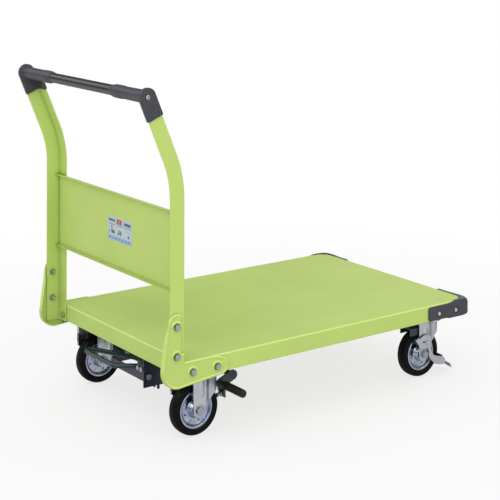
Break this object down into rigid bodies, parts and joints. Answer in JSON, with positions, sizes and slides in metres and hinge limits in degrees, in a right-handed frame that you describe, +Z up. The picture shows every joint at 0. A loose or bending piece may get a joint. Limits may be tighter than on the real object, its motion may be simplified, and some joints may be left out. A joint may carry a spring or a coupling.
{
  "type": "plant trolley",
  "caption": "Flat platform trolley with bent angle posts, cross handle, back panel, swivel front casters with stoppers and a foot-braked pair of fixed rear wheels.",
  "frame": {"origin": "on the floor, under the middle of the overall box; the deck centre is 54.6 mm forward and 5.4 mm left of it", "axes": "+X forward (away from the handle), +Y left, +Z up"},
  "size_m": [1.0348, 0.6292, 0.8396],
  "materials": {
    "lime_paint": "semi-gloss powder coat",
    "label_film": "printed film",
    "handle_tube": "glossy dark coating",
    "charcoal_plastic": "moulded satin",
    "black_plastic": "moulded satin",
    "tyre_rubber": "satin rubber",
    "hub_zinc": "bright zinc plate",
    "bush_steel": "plain steel",
    "fork_zinc": "zinc plate",
    "fastener_zinc": "zinc plate",
    "teal_paint": "dark gloss paint",
    "navy_paint": "dark gloss paint",
    "black_rubber": "satin rubber"
  },
  "bodies": {
    "chassis": {"deck": "lime_paint", "front_channel": "lime_paint", "rear_channel": "lime_paint", "centre_ribs": "lime_paint", "left_post": "lime_paint", "right_post": "lime_paint", "back_panel": "lime_paint", "panel_label": "label_film", "left_gusset": "lime_paint", "right_gusset": "lime_paint", "frame_bolts": "fastener_zinc", "frame_nuts": "fastener_zinc", "handle_tube": "handle_tube", "left_handle_corner": "charcoal_plastic", "right_handle_corner": "charcoal_plastic", "tube_plugs": "black_plastic", "handle_screws": "fastener_zinc", "left_bumper": "charcoal_plastic", "right_bumper": "charcoal_plastic", "bumper_rivets": "fastener_zinc", "caster_bolts": "fastener_zinc", "caster_nuts": "fastener_zinc", "rear_left_fork": "fork_zinc", "rear_right_fork": "fork_zinc", "rear_axle_bolts": "fastener_zinc", "rear_axle_nuts": "fastener_zinc", "front_top_plates": "fork_zinc", "king_pins": "fastener_zinc", "swivel_balls": "fastener_zinc", "brake_frame": "navy_paint", "return_spring": "fastener_zinc", "pedal_pivot_bolt": "fastener_zinc"},
    "rear_left_wheel": {"rear_left_tyre": "tyre_rubber", "rear_left_discs": "hub_zinc", "rear_left_bush": "bush_steel"},
    "front_left_caster": {"front_left_fork": "fork_zinc", "front_left_axle_bolt": "fastener_zinc", "front_left_axle_nut": "fastener_zinc", "front_left_brake_leaf": "teal_paint"},
    "front_left_wheel": {"front_left_tyre": "tyre_rubber", "front_left_discs": "hub_zinc", "front_left_bush": "bush_steel"},
    "front_left_stopper": {"front_left_brake_lever": "fork_zinc"},
    "rear_right_wheel": {"rear_right_tyre": "tyre_rubber", "rear_right_discs": "hub_zinc", "rear_right_bush": "bush_steel"},
    "front_right_caster": {"front_right_fork": "fork_zinc", "front_right_axle_bolt": "fastener_zinc", "front_right_axle_nut": "fastener_zinc", "front_right_brake_leaf": "teal_paint"},
    "front_right_wheel": {"front_right_tyre": "tyre_rubber", "front_right_discs": "hub_zinc", "front_right_bush": "bush_steel"},
    "front_right_stopper": {"front_right_brake_lever": "fork_zinc"},
    "brake_shaft_body": {"brake_shaft": "navy_paint", "brake_arms": "teal_paint", "step_sleeve": "black_rubber", "shoe_adjusters": "fastener_zinc"},
    "loop_pedal_body": {"loop_pedal": "teal_paint"},
    "brake_link_body": {"brake_link": "fastener_zinc"}
  },
  "joints": [
    {"name": "rear_left_wheel_spin", "type": "hinge", "parent": "chassis", "child": "rear_left_wheel", "pos_m": [-0.32105, 0.23035, 0.0625], "axis": [0, 1, 0], "continuous": true},
    {"name": "front_left_swivel", "type": "hinge", "parent": "chassis", "child": "front_left_caster", "pos_m": [0.42965, 0.23535, 0.145], "axis": [0, 0, 1], "continuous": true},
    {"name": "front_left_wheel_spin", "type": "hinge", "parent": "front_left_caster", "child": "front_left_wheel", "pos_m": [0.39415, 0.23535, 0.0625], "axis": [0, 1, 0], "continuous": true},
    {"name": "front_left_stopper_tilt", "type": "hinge", "parent": "front_left_caster", "child": "front_left_stopper", "pos_m": [0.40415, 0.20665, 0.0925], "axis": [0, 1, 0], "range_deg": [-14, 0]},
    {"name": "rear_right_wheel_spin", "type": "hinge", "parent": "chassis", "child": "rear_right_wheel", "pos_m": [-0.32105, -0.21965, 0.0625], "axis": [0, 1, 0], "continuous": true},
    {"name": "front_right_swivel", "type": "hinge", "parent": "chassis", "child": "front_right_caster", "pos_m": [0.42965, -0.22465, 0.145], "axis": [0, 0, 1], "continuous": true},
    {"name": "front_right_wheel_spin", "type": "hinge", "parent": "front_right_caster", "child": "front_right_wheel", "pos_m": [0.39415, -0.22465, 0.0625], "axis": [0, 1, 0], "continuous": true},
    {"name": "front_right_stopper_tilt", "type": "hinge", "parent": "front_right_caster", "child": "front_right_stopper", "pos_m": [0.40415, -0.25335, 0.0925], "axis": [0, 1, 0], "range_deg": [-14, 0]},
    {"name": "brake_shaft_turn", "type": "hinge", "parent": "chassis", "child": "brake_shaft_body", "pos_m": [-0.20735, 0.00535, 0.118], "axis": [0, 1, 0], "range_deg": [0, 7], "stiffness_Nm_per_rad": 2, "deforming": ["return_spring"]},
    {"name": "loop_pedal_tilt", "type": "hinge", "parent": "chassis", "child": "loop_pedal_body", "pos_m": [-0.31735, 0.00535, 0.112], "axis": [0, 1, 0], "range_deg": [-10.6, 0.05]},
    {"name": "brake_link_swing", "type": "hinge", "parent": "loop_pedal_body", "child": "brake_link_body", "pos_m": [-0.31735, -0.01665, 0.092], "axis": [0, 1, 0], "range_deg": [-0.05, 10.9]}
  ],
  "couplings": [
    {"joint": "loop_pedal_tilt", "follows": "brake_shaft_turn", "ratio": -1.5},
    {"joint": "brake_link_swing", "follows": "brake_shaft_turn", "ratio": 1.538}
  ]
}
